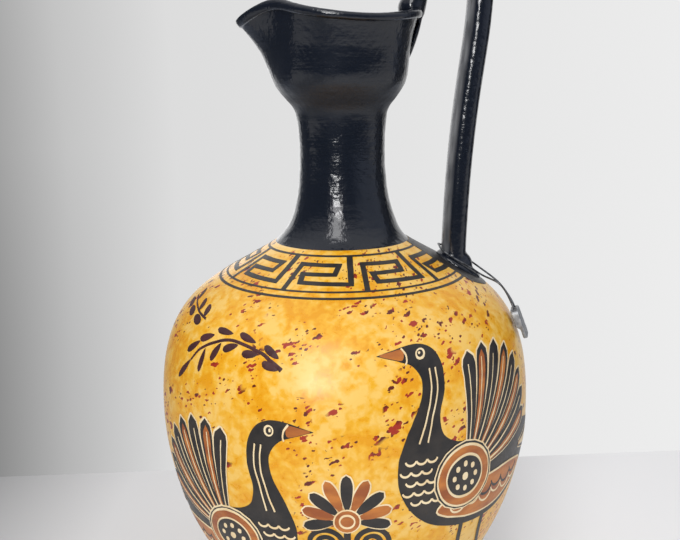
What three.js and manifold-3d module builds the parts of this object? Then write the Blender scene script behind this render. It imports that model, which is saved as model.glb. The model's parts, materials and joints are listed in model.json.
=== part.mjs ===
// Pottery wine jug with a pinched beak spout, a high-swung handle and a wired lead seal.
// Millimetres, +Z up. The origin is the centre of the flat ring that the jug stands on.
// The spout points along -X and the handle stands on the +X side.

import * as THREE from 'three';
import { mergeVertices } from 'three/addons/utils/BufferGeometryUtils.js';
import Module from 'manifold-3d';

const wasm = await Module();
wasm.setup();

// Foot: a turned ring with a rounded lower edge and a hollow throat.
const FOOT_HEIGHT = 12;
const FOOT_RADIUS = 35;
const FOOT_SEAT_RADIUS = 30;
const FOOT_SEAT_WIDTH = 6;
const FOOT_RING_WIDTH = 8;
const FOOT_EDGE_ROUND = 2.5;
const FOOT_EDGE_HEIGHT = 5;

// Body: an egg-shaped shell, widest above its middle.
const BELLY_RADIUS = 70;
const BELLY_RISE = 82;
const SHOULDER_RISE = 61;
const LOWER_SLOPE = 36;
const LOWER_REACH = 35;
const LOWER_FULLNESS = 26;
const SHOULDER_SLOPE = 32;
const SHOULDER_REACH = 31;
const SHOULDER_FULLNESS = 44;
const BODY_WALL = 5;
const BODY_FLOOR = 6;
const BODY_CORNER = 1;

// Neck: a concave tube that flares onto the shoulder.
const NECK_LENGTH = 46;
const NECK_BASE_RADIUS = 25;
const NECK_BASE_WALL = 5;
const NECK_FLARE_RUN = 7.5;
const NECK_FLARE_RISE = 6;
const NECK_WAIST_RADIUS = 15.6;
const NECK_WAIST_RISE = 33;
const NECK_WAIST_EASE = 13;
const NECK_TOP_RADIUS = 16.8;
const NECK_WALL = 4;

// Mouth: a cup with a rounded corner below, flared out above to a rounded lip.
const MOUTH_HEIGHT = 37;
const CUP_RADIUS = 24.1;
const CUP_CORNER_RISE = 16;
const CUP_BASE_EASE = 5;
const CUP_SIDE_EASE = 10.4;
const CUP_BOWL_EASE = 8;
const CUP_WALL = 3.6;
const LIP_RADIUS = 30.3;
const LIP_NECK_RADIUS = 28.5;
const LIP_HEIGHT = 3.5;
const LIP_WIDTH = 4.2;
const LIP_FLARE = 8.5;

// Spout: pulled out at the front, pinched on both sides, with lobes that droop beside it.
const SPOUT_PULL = 10.4;
const SPOUT_SPREAD = 34;
const SPOUT_DROP = 5.5;
const SPOUT_EASE = 2.2;
const SPOUT_LIP_FADE = 0.48;
const PINCH_DEPTH = 7;
const PINCH_ANGLE = 155;
const PINCH_SPREAD = 28.7;
const PINCH_RISE = 5.2;
const LOBE_DROP = 4;
const LOBE_ANGLE = 70;
const LOBE_SPREAD = 47;

// The lip is pressed in where the handle sits on it.
const PRESS_DEPTH = 1.6;
const PRESS_SPREAD = 14;

// Handle: an oval rod from the shoulder over a loop to the rear of the lip.
const HANDLE_THICKNESS = 9.4;
const HANDLE_WIDTH = 12;
const HANDLE_FOOT_RADIUS = 42;
const HANDLE_OUT_RADIUS = 50.9;
const HANDLE_RIM_RADIUS = 26.2;
const HANDLE_LEAN = 1.8;
const LEG_LEAN = 1.6;
const LEG_STRAIGHT_SHARE = 0.65;
const LEG_BEND_SHARE = 0.25;
const HANDLE_LOOP_START = 10;
const HANDLE_LOOP_RISE = 17;
const ROOT_LENGTH = 20;
const ROOT_WIDTH = 17;
const ROOT_HEIGHT = 4.6;
const ROOT_SHIFT = 2.2;
const PAD_HEIGHT = 9.8;
const PAD_SPREAD = 13;
const TAIL_LENGTH = 18;
const TAIL_WIDTH = 10;
const TAIL_HEIGHT = 2.4;
const TAIL_DROP = 10.1;
const TAIL_SLOPE = 18;

// Wire and seal: a stiff loop round the handle, with both ends in a folded lead tag.
const WIRE_DIAMETER = 0.7;
const WIRE_LIFT = 3.6;
const FRONT_LIFT = 2.6;
const BACK_LIFT = 3.8;
const THROAT_LIFT = 5;
const THROAT_GAP = 1.3;
const THROAT_SWING = 7;
const THROAT_SHARE = 0.7;
const TURN_SHARE = 0.45;
const BEND_SHARE = 0.8;
const SEAL_LENGTH = 11.4;
const SEAL_WIDTH = 9;
const SEAL_THICKNESS = 2.9;
const SEAL_LEAF = 1.5;
const SEAL_FOLD_LENGTH = 6;
const SEAL_CORNER = 2;
const SEAL_DROP = 33.6;
const SEAL_SWING = 14;
const SEAL_HOLE_SPACING = 4;
const SEAL_HOLE_DEPTH = 4.5;

// Clearances between pieces that don't share a flat face.
const JOIN_GAP = 0.3;
const WIRE_GAP = 0.4;

// Facets
const ROUND_BODY = 48;
const ROUND_NECK = 40;
const ROUND_MOUTH = 52;
const ROUND_HANDLE = 12;
const ROUND_WIRE = 8;
const ROUND_SMEAR = 14;
const HANDLE_STEPS = 44;
const WIRE_STEPS = 76;
const SHOULDER_STEPS = 22;

// Heights that follow from the sizes above.
const bellyZ = FOOT_HEIGHT + BELLY_RISE;
const shoulderZ = bellyZ + SHOULDER_RISE;
const neckTopZ = shoulderZ + NECK_LENGTH;
const rimZ = neckTopZ + MOUTH_HEIGHT;
const boreRadius = NECK_TOP_RADIUS - NECK_WALL;
const neckBoreRadius = NECK_BASE_RADIUS - NECK_BASE_WALL;
const neckTopSlope = 2 * (NECK_TOP_RADIUS - NECK_WAIST_RADIUS) / (NECK_LENGTH - NECK_WAIST_RISE);
const wireRadius = WIRE_DIAMETER / 2;

const point = (x, y) => new THREE.Vector2(x, y);
const space = (x, y, z) => new THREE.Vector3(x, y, z);
const radians = THREE.MathUtils.degToRad;

// Shape helpers

// Turns an upright profile round the Z axis.
function revolve(profile, segments) {
  const geometry = new THREE.LatheGeometry(profile, segments);
  geometry.rotateX(Math.PI / 2);
  return weld(geometry);
}

// Merges shared vertices and drops the flat triangles that a lathe leaves on its axis.
function weld(geometry) {
  geometry.deleteAttribute('normal');
  geometry.deleteAttribute('uv');
  const merged = mergeVertices(geometry, 1e-4);
  const corners = merged.index.array;
  const kept = [];
  for (let i = 0; i < corners.length; i += 3) {
    const [a, b, c] = corners.slice(i, i + 3);
    if (a !== b && b !== c && c !== a) kept.push(a, b, c);
  }
  merged.setIndex(kept);
  return merged;
}

function solid(geometry) {
  const welded = geometry.index && !geometry.attributes.uv ? geometry : weld(geometry);
  const vertProperties = new Float32Array(welded.attributes.position.array);
  const triVerts = new Uint32Array(welded.index.array);
  return new wasm.Manifold(new wasm.Mesh({ numProp: 3, vertProperties, triVerts }));
}

function shape(manifold) {
  const mesh = manifold.getMesh();
  const geometry = new THREE.BufferGeometry();
  geometry.setAttribute('position', new THREE.BufferAttribute(mesh.vertProperties, 3));
  geometry.setIndex(new THREE.BufferAttribute(mesh.triVerts, 1));
  return geometry;
}

// Points along a flat curve, moved square to it. A positive distance is outwards on a rising curve.
function offset(curve, distance, count) {
  const points = [];
  for (let i = 0; i <= count; i++) {
    const place = curve.getPoint(i / count);
    const along = curve.getTangent(i / count);
    points.push(point(place.x + along.y * distance, place.y - along.x * distance));
  }
  return points;
}

// Finds where a curve passes a test that is true at its start and false at its end.
function crossing(curve, test) {
  let low = 0;
  let high = 1;
  for (let i = 0; i < 40; i++) {
    const middle = (low + high) / 2;
    if (test(curve.getPoint(middle))) low = middle;
    else high = middle;
  }
  return low;
}

// Foot

function makeFoot() {
  const inner = FOOT_RADIUS - FOOT_RING_WIDTH;
  const path = new THREE.Path();
  path.moveTo(inner, 0);
  path.lineTo(FOOT_RADIUS - FOOT_EDGE_ROUND, 0);
  path.quadraticCurveTo(FOOT_RADIUS, 0, FOOT_RADIUS, FOOT_EDGE_ROUND);
  path.quadraticCurveTo(FOOT_RADIUS, FOOT_EDGE_HEIGHT, FOOT_RADIUS - FOOT_EDGE_ROUND, FOOT_EDGE_HEIGHT);
  path.quadraticCurveTo(FOOT_SEAT_RADIUS, FOOT_EDGE_HEIGHT, FOOT_SEAT_RADIUS, FOOT_HEIGHT);
  path.lineTo(FOOT_SEAT_RADIUS - FOOT_SEAT_WIDTH, FOOT_HEIGHT);
  path.lineTo(inner, 0);
  return revolve(path.getPoints(3), ROUND_BODY);
}

// Body

const lowerCurve = new THREE.CubicBezierCurve(
  point(FOOT_SEAT_RADIUS, FOOT_HEIGHT),
  point(
    FOOT_SEAT_RADIUS + LOWER_REACH * Math.cos(radians(LOWER_SLOPE)),
    FOOT_HEIGHT + LOWER_REACH * Math.sin(radians(LOWER_SLOPE)),
  ),
  point(BELLY_RADIUS, bellyZ - LOWER_FULLNESS),
  point(BELLY_RADIUS, bellyZ),
);

const shoulderCurve = new THREE.CubicBezierCurve(
  point(BELLY_RADIUS, bellyZ),
  point(BELLY_RADIUS, bellyZ + SHOULDER_FULLNESS),
  point(
    NECK_BASE_RADIUS + SHOULDER_REACH * Math.cos(radians(SHOULDER_SLOPE)),
    shoulderZ - SHOULDER_REACH * Math.sin(radians(SHOULDER_SLOPE)),
  ),
  point(NECK_BASE_RADIUS, shoulderZ),
);

function makeBody() {
  const floorZ = FOOT_HEIGHT + BODY_FLOOR;
  const skin = (distance, below, above) => [
    ...offset(lowerCurve, distance, below),
    ...offset(shoulderCurve, distance, above).slice(1),
  ];
  const outer = skin(0, 9, 11);
  const inner = skin(-BODY_WALL, 7, 8);
  const hollow = inner.filter((p) => p.y > floorZ + BODY_CORNER && p.x > neckBoreRadius + BODY_CORNER);
  const floorCorner = point(hollow[0].x - BODY_WALL, floorZ);
  const throat = point(neckBoreRadius, hollow.at(-1).y + BODY_CORNER);
  const profile = [
    point(0, FOOT_HEIGHT),
    ...outer,
    point(neckBoreRadius, shoulderZ),
    throat,
    ...hollow.reverse(),
    floorCorner,
    point(0, floorZ),
  ];
  return revolve(profile, ROUND_BODY);
}

function shoulderHeight(radius) {
  const at = crossing(shoulderCurve, (p) => p.x > radius);
  return shoulderCurve.getPoint(at).y;
}

// Neck

function neckWall(baseRadius, waistRadius, topRadius) {
  const waistZ = shoulderZ + NECK_WAIST_RISE;
  const path = new THREE.Path();
  path.moveTo(baseRadius, shoulderZ);
  path.bezierCurveTo(
    baseRadius - NECK_FLARE_RUN, shoulderZ + NECK_FLARE_RISE,
    waistRadius, waistZ - NECK_WAIST_EASE,
    waistRadius, waistZ,
  );
  path.quadraticCurveTo(waistRadius, (waistZ + neckTopZ) / 2, topRadius, neckTopZ);
  return path.getPoints(5);
}

function makeNeck() {
  const outer = neckWall(NECK_BASE_RADIUS, NECK_WAIST_RADIUS, NECK_TOP_RADIUS);
  const inner = neckWall(neckBoreRadius, NECK_WAIST_RADIUS - NECK_WALL, boreRadius);
  return revolve([...outer, ...inner.reverse(), outer[0]], ROUND_NECK);
}

// Mouth

// Walks up the cup's outside, over the lip and down its inside. Grow makes the walls thicker.
function cupProfile(grow) {
  const cornerZ = neckTopZ + CUP_CORNER_RISE;
  const lipZ = rimZ - LIP_HEIGHT;
  const outside = CUP_RADIUS + grow;
  const inside = CUP_RADIUS - CUP_WALL - grow;
  const lipOutside = LIP_RADIUS + grow;
  const lipInside = LIP_RADIUS - LIP_WIDTH - grow;
  const lipMiddle = LIP_RADIUS - LIP_WIDTH / 2;
  const top = rimZ + grow;
  const path = new THREE.Path();
  path.moveTo(boreRadius - grow, neckTopZ);
  path.lineTo(NECK_TOP_RADIUS + grow, neckTopZ);
  path.bezierCurveTo(
    NECK_TOP_RADIUS + grow + neckTopSlope * CUP_BASE_EASE, neckTopZ + CUP_BASE_EASE,
    outside, cornerZ - CUP_SIDE_EASE,
    outside, cornerZ,
  );
  path.quadraticCurveTo(outside, lipZ - LIP_FLARE, LIP_NECK_RADIUS + grow, lipZ - grow);
  path.quadraticCurveTo(lipOutside, lipZ - grow, lipOutside, (lipZ + top) / 2);
  path.quadraticCurveTo(lipOutside, top, lipMiddle, top);
  path.quadraticCurveTo(lipInside, top, lipInside, top - LIP_HEIGHT / 2);
  path.quadraticCurveTo(inside, lipZ - LIP_FLARE, inside, cornerZ);
  path.bezierCurveTo(
    inside, cornerZ - CUP_BOWL_EASE,
    boreRadius - grow, neckTopZ + CUP_BOWL_EASE,
    boreRadius - grow, neckTopZ,
  );
  return path.getPoints(4);
}

const bell = (angle, middle, spread) => Math.exp(-(((angle - middle) / spread) ** 2));

// Pulls the spout out, pinches its sides and presses the rear in, more and more towards the lip.
function pinch(geometry) {
  const places = geometry.attributes.position;
  for (let i = 0; i < places.count; i++) {
    const at = new THREE.Vector3().fromBufferAttribute(places, i);
    const angle = Math.abs(THREE.MathUtils.radToDeg(Math.atan2(at.y, at.x)));
    const rise = Math.max(0, (at.z - neckTopZ) / MOUTH_HEIGHT) ** SPOUT_EASE;
    const spout = bell(angle, 180, SPOUT_SPREAD);
    const squeeze = bell(angle, PINCH_ANGLE, PINCH_SPREAD);
    const lobe = bell(angle, LOBE_ANGLE, LOBE_SPREAD);
    const press = bell(angle, 0, PRESS_SPREAD);
    const pull = rise * (SPOUT_PULL * spout - PINCH_DEPTH * squeeze - PRESS_DEPTH * press);
    const lift = rise * (PINCH_RISE * squeeze - SPOUT_DROP * spout - LOBE_DROP * lobe);
    const radius = Math.hypot(at.x, at.y);
    const overhang = Math.max(0, radius - LIP_NECK_RADIUS);
    const stretch = (radius + pull - overhang * SPOUT_LIP_FADE * spout) / radius;
    places.setXYZ(i, at.x * stretch, at.y * stretch, at.z + lift);
  }
  return geometry;
}

const makeMouth = (grow = 0) => pinch(revolve(cupProfile(grow), ROUND_MOUTH));

// Handle

const handleFootZ = shoulderHeight(HANDLE_FOOT_RADIUS);
const loopZ = rimZ + HANDLE_LOOP_START;
const legStartZ = handleFootZ - ROOT_HEIGHT;
const legRise = loopZ - legStartZ;

// The outer leg rises almost straight from the shoulder, then bends out to the loop.
const legCurve = new THREE.CubicBezierCurve3(
  space(HANDLE_FOOT_RADIUS, 0, legStartZ),
  space(HANDLE_FOOT_RADIUS + LEG_LEAN, 0, legStartZ + legRise * LEG_STRAIGHT_SHARE),
  space(HANDLE_OUT_RADIUS, 0, loopZ - legRise * LEG_BEND_SHARE),
  space(HANDLE_OUT_RADIUS, 0, loopZ),
);

// A quarter of an oval, from one axis end to the other.
function quarterArc(from, corner, to) {
  const easing = 0.5523;
  return new THREE.CubicBezierCurve3(
    from,
    from.clone().lerp(corner, easing),
    to.clone().lerp(corner, easing),
    to,
  );
}

function handlePath() {
  const loopTop = loopZ + HANDLE_LOOP_RISE;
  const outer = legCurve.v3;
  const inner = space(HANDLE_RIM_RADIUS + HANDLE_LEAN, 0, loopZ);
  const crown = space((outer.x + inner.x) / 2, 0, loopTop);
  const rim = space(HANDLE_RIM_RADIUS, 0, rimZ - LIP_HEIGHT / 2);
  const path = new THREE.CurvePath();
  path.add(legCurve);
  path.add(quarterArc(outer, space(HANDLE_OUT_RADIUS, 0, loopTop), crown));
  path.add(quarterArc(crown, space(inner.x, 0, loopTop), inner));
  path.add(new THREE.QuadraticBezierCurve3(inner, space(inner.x, 0, (loopZ + rimZ) / 2), rim));
  return path;
}

function oval(width, thickness, sides) {
  const ring = new THREE.EllipseCurve(0, 0, width / 2, thickness / 2).getPoints(sides);
  return new THREE.Shape(ring.slice(0, sides));
}

// A flattened ball of clay, smeared along a slope. Tilt turns its length down from +X.
function smear(length, width, height, tilt, place) {
  const geometry = new THREE.SphereGeometry(0.5, ROUND_SMEAR, ROUND_SMEAR / 2 + 1);
  geometry.scale(length, width, height);
  geometry.rotateY(tilt);
  geometry.translate(place.x, place.y, place.z);
  return solid(geometry);
}

function makeHandle() {
  const rod = solid(new THREE.ExtrudeGeometry(oval(HANDLE_WIDTH, HANDLE_THICKNESS, ROUND_HANDLE), {
    steps: HANDLE_STEPS,
    bevelEnabled: false,
    extrudePath: handlePath(),
  }));
  const rootRadius = HANDLE_FOOT_RADIUS + ROOT_SHIFT;
  const rootPlace = space(rootRadius, 0, shoulderHeight(rootRadius));
  const root = smear(ROOT_LENGTH, ROOT_WIDTH, ROOT_HEIGHT, radians(SHOULDER_SLOPE), rootPlace);
  const padPlace = space(HANDLE_RIM_RADIUS, 0, rimZ);
  const pad = smear(PAD_HEIGHT, PAD_SPREAD, PAD_HEIGHT, 0, padPlace);
  const tailPlace = space((LIP_NECK_RADIUS + CUP_RADIUS) / 2, 0, rimZ - TAIL_DROP);
  const tail = smear(TAIL_HEIGHT, TAIL_WIDTH, TAIL_LENGTH, radians(TAIL_SLOPE), tailPlace);
  const shoulder = [
    point(NECK_WAIST_RADIUS, bellyZ),
    ...offset(shoulderCurve, JOIN_GAP, SHOULDER_STEPS),
    point(NECK_WAIST_RADIUS, shoulderZ + JOIN_GAP),
    point(NECK_WAIST_RADIUS, bellyZ),
  ];
  const clay = rod.add(root).add(pad).add(tail);
  return shape(clay.subtract(solid(revolve(shoulder, ROUND_BODY))).subtract(solid(makeMouth(JOIN_GAP))));
}

// Lead seal, made in its own frame: +X away from the jug, +Z back up towards the wire.
// It leans on the body near its lower end.

function sealFrame() {
  const at = crossing(shoulderCurve, (p) => p.y < shoulderZ - SEAL_DROP);
  const place = shoulderCurve.getPoint(at);
  const along = shoulderCurve.getTangent(at);
  const swing = radians(-SEAL_SWING);
  const outwards = space(along.y * Math.cos(swing), along.y * Math.sin(swing), -along.x);
  const upwards = space(along.x * Math.cos(swing), along.x * Math.sin(swing), along.y);
  const sideways = upwards.clone().cross(outwards);
  const frame = new THREE.Matrix4().makeBasis(outwards, sideways, upwards);
  const seat = space(place.x * Math.cos(swing), place.x * Math.sin(swing), place.y);
  seat.addScaledVector(outwards, JOIN_GAP + SEAL_THICKNESS / 2);
  seat.addScaledVector(upwards, SEAL_LENGTH / 2 - SEAL_CORNER);
  return frame.setPosition(seat);
}

function roundedPlate(width, length, corner) {
  const x = width / 2;
  const y = length / 2;
  const plate = new THREE.Shape();
  plate.moveTo(-x + corner, -y);
  plate.lineTo(x - corner, -y);
  plate.quadraticCurveTo(x, -y, x, -y + corner);
  plate.lineTo(x, y - corner);
  plate.quadraticCurveTo(x, y, x - corner, y);
  plate.lineTo(-x + corner, y);
  plate.quadraticCurveTo(-x, y, -x, y - corner);
  plate.lineTo(-x, -y + corner);
  plate.quadraticCurveTo(-x, -y, -x + corner, -y);
  return plate;
}

// The tag's edge view: a long outer leaf, and a short inner leaf folded back behind it.
function foldedEdge() {
  const back = -SEAL_THICKNESS / 2;
  const front = SEAL_THICKNESS / 2;
  const low = -SEAL_LENGTH / 2;
  const high = SEAL_LENGTH / 2;
  const foldZ = high - SEAL_FOLD_LENGTH;
  const step = front - SEAL_LEAF;
  const edge = new THREE.Shape();
  edge.moveTo(step, low);
  edge.lineTo(front, low);
  edge.lineTo(front, high);
  edge.lineTo(back, high);
  edge.lineTo(back, foldZ);
  edge.lineTo(step, foldZ - SEAL_LEAF);
  edge.lineTo(step, low);
  return edge;
}

function makeSeal() {
  const plan = new THREE.ExtrudeGeometry(roundedPlate(SEAL_WIDTH, SEAL_LENGTH, SEAL_CORNER), {
    depth: SEAL_THICKNESS * 2,
    bevelEnabled: false,
    curveSegments: 4,
  });
  plan.translate(0, 0, -SEAL_THICKNESS);
  plan.applyMatrix4(new THREE.Matrix4().makeBasis(space(0, 1, 0), space(0, 0, 1), space(1, 0, 0)));
  const edge = new THREE.ExtrudeGeometry(foldedEdge(), { depth: SEAL_WIDTH * 2, bevelEnabled: false });
  edge.translate(0, 0, -SEAL_WIDTH);
  edge.applyMatrix4(new THREE.Matrix4().makeBasis(space(1, 0, 0), space(0, 0, 1), space(0, -1, 0)));
  let tag = solid(plan).intersect(solid(edge));
  for (const side of [-1, 1]) {
    const hole = new THREE.CylinderGeometry(
      wireRadius + JOIN_GAP,
      wireRadius + JOIN_GAP,
      SEAL_HOLE_DEPTH * 2,
      ROUND_WIRE,
    );
    hole.rotateX(Math.PI / 2);
    hole.translate(0, side * SEAL_HOLE_SPACING / 2, SEAL_LENGTH / 2);
    tag = tag.subtract(solid(hole));
  }
  return shape(tag);
}

// Seal wire

// A place above the shoulder, at a distance from the jug's axis and across its middle plane.
function aboveShoulder(radius, across, lift) {
  return space(Math.sqrt(radius ** 2 - across ** 2), across, shoulderHeight(radius) + lift);
}

// The leg's distance from the jug's axis where the wire goes round it.
const gripRadius = legCurve.getPoint(crossing(legCurve, (p) => p.z < handleFootZ + WIRE_LIFT)).x;

// One strand, from the bend on the handle's inner side down to its hole in the seal.
function strand(side, frame) {
  const lift = side < 0 ? FRONT_LIFT : BACK_LIFT;
  const beside = side * (HANDLE_WIDTH / 2 + WIRE_GAP + wireRadius);
  const innerFace = gripRadius - HANDLE_THICKNESS / 2;
  const outerFace = gripRadius + HANDLE_THICKNESS / 2;
  const inSeal = (height) => space(0, side * SEAL_HOLE_SPACING / 2, height).applyMatrix4(frame);
  const sealTop = inSeal(SEAL_LENGTH / 2);
  const throatRadius = THREE.MathUtils.lerp(outerFace, Math.hypot(sealTop.x, sealTop.y), THROAT_SHARE);
  const throatAcross = -THROAT_SWING + side * THROAT_GAP / 2;
  const turnRadius = Math.hypot(THREE.MathUtils.lerp(outerFace, throatRadius, TURN_SHARE), beside / 2);
  const turnAcross = (beside + throatAcross) / 2;
  const bendAcross = beside * BEND_SHARE;
  return [
    aboveShoulder(Math.hypot(innerFace, bendAcross), bendAcross, (WIRE_LIFT + lift) / 2),
    aboveShoulder(Math.hypot(gripRadius, beside), beside, lift),
    aboveShoulder(Math.hypot(outerFace, beside), beside, lift),
    aboveShoulder(turnRadius, turnAcross, lift),
    aboveShoulder(throatRadius, throatAcross, THROAT_LIFT),
    inSeal(SEAL_LENGTH / 2 + 4 * wireRadius),
    sealTop,
    inSeal(SEAL_LENGTH / 2 - SEAL_HOLE_DEPTH + JOIN_GAP),
  ];
}

function makeWire(frame) {
  const bendRadius = gripRadius - HANDLE_THICKNESS / 2 - WIRE_GAP - wireRadius;
  const bend = aboveShoulder(bendRadius, 0, WIRE_LIFT);
  const route = [...strand(-1, frame).reverse(), bend, ...strand(1, frame)];
  return new THREE.ExtrudeGeometry(oval(WIRE_DIAMETER, WIRE_DIAMETER, ROUND_WIRE), {
    steps: WIRE_STEPS,
    bevelEnabled: false,
    extrudePath: new THREE.CatmullRomCurve3(route),
  });
}

// Assembly

const blackGloss = new THREE.MeshStandardMaterial({ color: 0x1b1d22, roughness: 0.25, metalness: 0 });
const ochreWax = new THREE.MeshStandardMaterial({ color: 0xe9b25a, roughness: 0.4, metalness: 0 });
const steelWire = new THREE.MeshStandardMaterial({ color: 0x55585c, roughness: 0.35, metalness: 1 });
const lead = new THREE.MeshStandardMaterial({ color: 0x8a8d90, roughness: 0.5, metalness: 1 });

function piece(name, geometry, material) {
  const mesh = new THREE.Mesh(geometry, material);
  mesh.name = name;
  return mesh;
}

const frame = sealFrame();
const leadSeal = piece('lead_seal', makeSeal(), lead);
leadSeal.applyMatrix4(frame);

const jug = new THREE.Group();
jug.add(piece('foot', makeFoot(), blackGloss.clone()));
jug.add(piece('body', makeBody(), ochreWax));
jug.add(piece('neck', makeNeck(), blackGloss.clone()));
jug.add(piece('mouth', makeMouth(), blackGloss.clone()));
jug.add(piece('handle', makeHandle(), blackGloss.clone()));
jug.add(piece('seal_wire', makeWire(frame), steelWire));
jug.add(leadSeal);

export default jug;
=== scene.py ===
# %% [markdown]
# # A painted wine jug
# The real jug is thrown and pulled in clay in five pieces, joined with slip, painted and waxed.
# The frame holds its construction. This lesson gives each piece its fine surface and its finish,
# and paints the body stroke by stroke.

# %% Load the frame
import json
import math
from bisect import bisect
from collections import defaultdict

import bmesh
import bpy
from mathutils import Matrix, Vector, noise
from mathutils.geometry import interpolate_bezier as curve

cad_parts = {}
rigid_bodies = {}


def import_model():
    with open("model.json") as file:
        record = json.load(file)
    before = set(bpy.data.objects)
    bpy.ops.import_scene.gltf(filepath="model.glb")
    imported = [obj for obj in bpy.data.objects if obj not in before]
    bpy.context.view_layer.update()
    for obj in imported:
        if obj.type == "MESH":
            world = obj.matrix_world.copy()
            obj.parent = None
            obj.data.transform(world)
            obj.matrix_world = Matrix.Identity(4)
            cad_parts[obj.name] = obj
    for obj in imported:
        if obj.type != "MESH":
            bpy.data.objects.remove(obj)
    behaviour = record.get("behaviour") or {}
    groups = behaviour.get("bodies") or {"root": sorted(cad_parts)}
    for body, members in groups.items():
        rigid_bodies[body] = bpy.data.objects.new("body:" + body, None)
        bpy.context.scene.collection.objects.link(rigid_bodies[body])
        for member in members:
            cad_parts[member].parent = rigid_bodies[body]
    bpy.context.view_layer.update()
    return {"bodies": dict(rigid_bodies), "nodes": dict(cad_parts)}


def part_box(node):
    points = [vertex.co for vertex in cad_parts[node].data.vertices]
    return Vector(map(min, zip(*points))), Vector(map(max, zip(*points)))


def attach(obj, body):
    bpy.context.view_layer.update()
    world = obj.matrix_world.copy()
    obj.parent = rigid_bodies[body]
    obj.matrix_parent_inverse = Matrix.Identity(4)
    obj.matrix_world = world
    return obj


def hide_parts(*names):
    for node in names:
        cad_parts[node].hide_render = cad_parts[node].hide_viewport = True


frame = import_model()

MM = 0.001
print("bodies", sorted(frame["bodies"]), "nodes", sorted(frame["nodes"]))

# %% [markdown]
# The camera stands a forearm's length from the jug, a little above its shoulder, and looks down.
# A focal length in picture pixels says the same as a lens on a 36 mm sensor, whatever the render's size.
# The jug's axis is a few pixels right of the middle, which a small lens shift gives.

# %% Camera
PICTURE_WIDTH = 680
FOCAL_PIXELS = 800
AXIS_PIXEL = 342.6
EYE_DISTANCE = 298.8
EYE_HEIGHT = 206.8
LOOK_DOWN = math.radians(12.1)
ROLL = math.radians(-1.03)


def link(thing):
    bpy.context.collection.objects.link(thing)
    return thing


lens = bpy.data.cameras.new("camera")
lens.sensor_width = 36
lens.lens = lens.sensor_width * FOCAL_PIXELS / PICTURE_WIDTH
lens.shift_x = (PICTURE_WIDTH / 2 - AXIS_PIXEL) / PICTURE_WIDTH
lens.clip_start = 0.01
camera = link(bpy.data.objects.new("camera", lens))
aim = Matrix.Rotation(math.pi / 2 - LOOK_DOWN, 4, "X") @ Matrix.Rotation(ROLL, 4, "Z")
camera.matrix_world = Matrix.Translation(Vector((0, -EYE_DISTANCE, EYE_HEIGHT)) * MM) @ aim
bpy.context.scene.camera = camera
print("lens", round(lens.lens, 2), "mm")

# %% [markdown]
# Nodes make every finish here, so a few helpers come first. One starts a material and sets the
# shader's own sockets. The next adds a node, and takes each input as a number or as a link. The
# others are short ways to a colour ramp, a noise, a sum, a mix of two colours, a range and a bump,
# and the last one plugs what they give into a shader.

# %% Node helpers


def new_finish(name, **sockets):
    material = bpy.data.materials.new(name)
    material.use_nodes = True
    tree = material.node_tree
    shader = tree.nodes["Principled BSDF"]
    for socket, value in sockets.items():
        shader.inputs[socket.replace("_", " ")].default_value = value
    return material, tree, shader


def add(tree, kind, inputs=None, **settings):
    node = tree.nodes.new("ShaderNode" + kind)
    for name, value in settings.items():
        setattr(node, name, value)
    for socket, value in (inputs or {}).items():
        if isinstance(value, bpy.types.NodeSocket):
            tree.links.new(value, node.inputs[socket])
        else:
            node.inputs[socket].default_value = value
    return node


def ramp(tree, factor, *stops):
    node = add(tree, "ValToRGB", {"Fac": factor})
    while len(node.color_ramp.elements) < len(stops):
        node.color_ramp.elements.new(1)
    for element, (position, colour) in zip(node.color_ramp.elements, stops):
        element.position = position
        element.color = (*colour, 1) if isinstance(colour, tuple) else (colour, colour, colour, 1)
    return node.outputs["Color"]


def grain(tree, scale, detail, stretch=(1, 1, 1), warp=0):
    place = add(tree, "TexCoord").outputs["Object"]
    drawn = add(tree, "Mapping", {"Vector": place, "Scale": stretch}).outputs["Vector"]
    inputs = {"Vector": drawn, "Scale": scale, "Detail": detail, "Distortion": warp}
    return add(tree, "TexNoise", inputs).outputs["Fac"]


def both(tree, first, second, operation):
    return add(tree, "Math", {0: first, 1: second}, operation=operation).outputs["Value"]


def blend(tree, share, first, second):
    return add(tree, "MixRGB", {"Fac": share, "Color1": first, "Color2": second}).outputs["Color"]


def span(tree, value, low, high):
    inputs = {"Value": value, "From Min": low, "From Max": high}
    return add(tree, "MapRange", inputs).outputs["Result"]


def bump(tree, height, strength, distance, **under):
    inputs = {"Height": height, "Strength": strength, "Distance": distance, **under}
    return add(tree, "Bump", inputs).outputs["Normal"]


def plug(tree, shader, **outputs):
    for socket, output in outputs.items():
        tree.links.new(output, shader.inputs[socket.replace("_", " ")])


print("node helpers ready")

# %% [markdown]
# The jug stands on a plain pale table, which ends a hand's width behind it and lies in shade on the
# left. One face and a colour ramp along it are enough. The table's front is dark to every ray but
# the camera's, so that the black gloss, which reflects it, stays dark.

# %% Table
PALE = (0.85, 0.845, 0.84)
HALF_SHADED = (0.7, 0.695, 0.69)
SHADED = (0.32, 0.318, 0.316)
TABLE_SHADE = ((0.2, HALF_SHADED), (0.5, SHADED), (0.55, SHADED), (0.63, HALF_SHADED), (0.75, PALE))
TABLE_SHADE_RUN = (-0.75, 0.25)
FRONT_GREY = (0.06, 0.068, 0.088, 1)
FRONT_RUN = (-0.22, -0.6)
TABLE_REACH = 3
TABLE_REAR = 0.131
TABLE_SKEW = 0.047

bpy.context.scene.view_settings.view_transform = "Standard"

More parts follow.
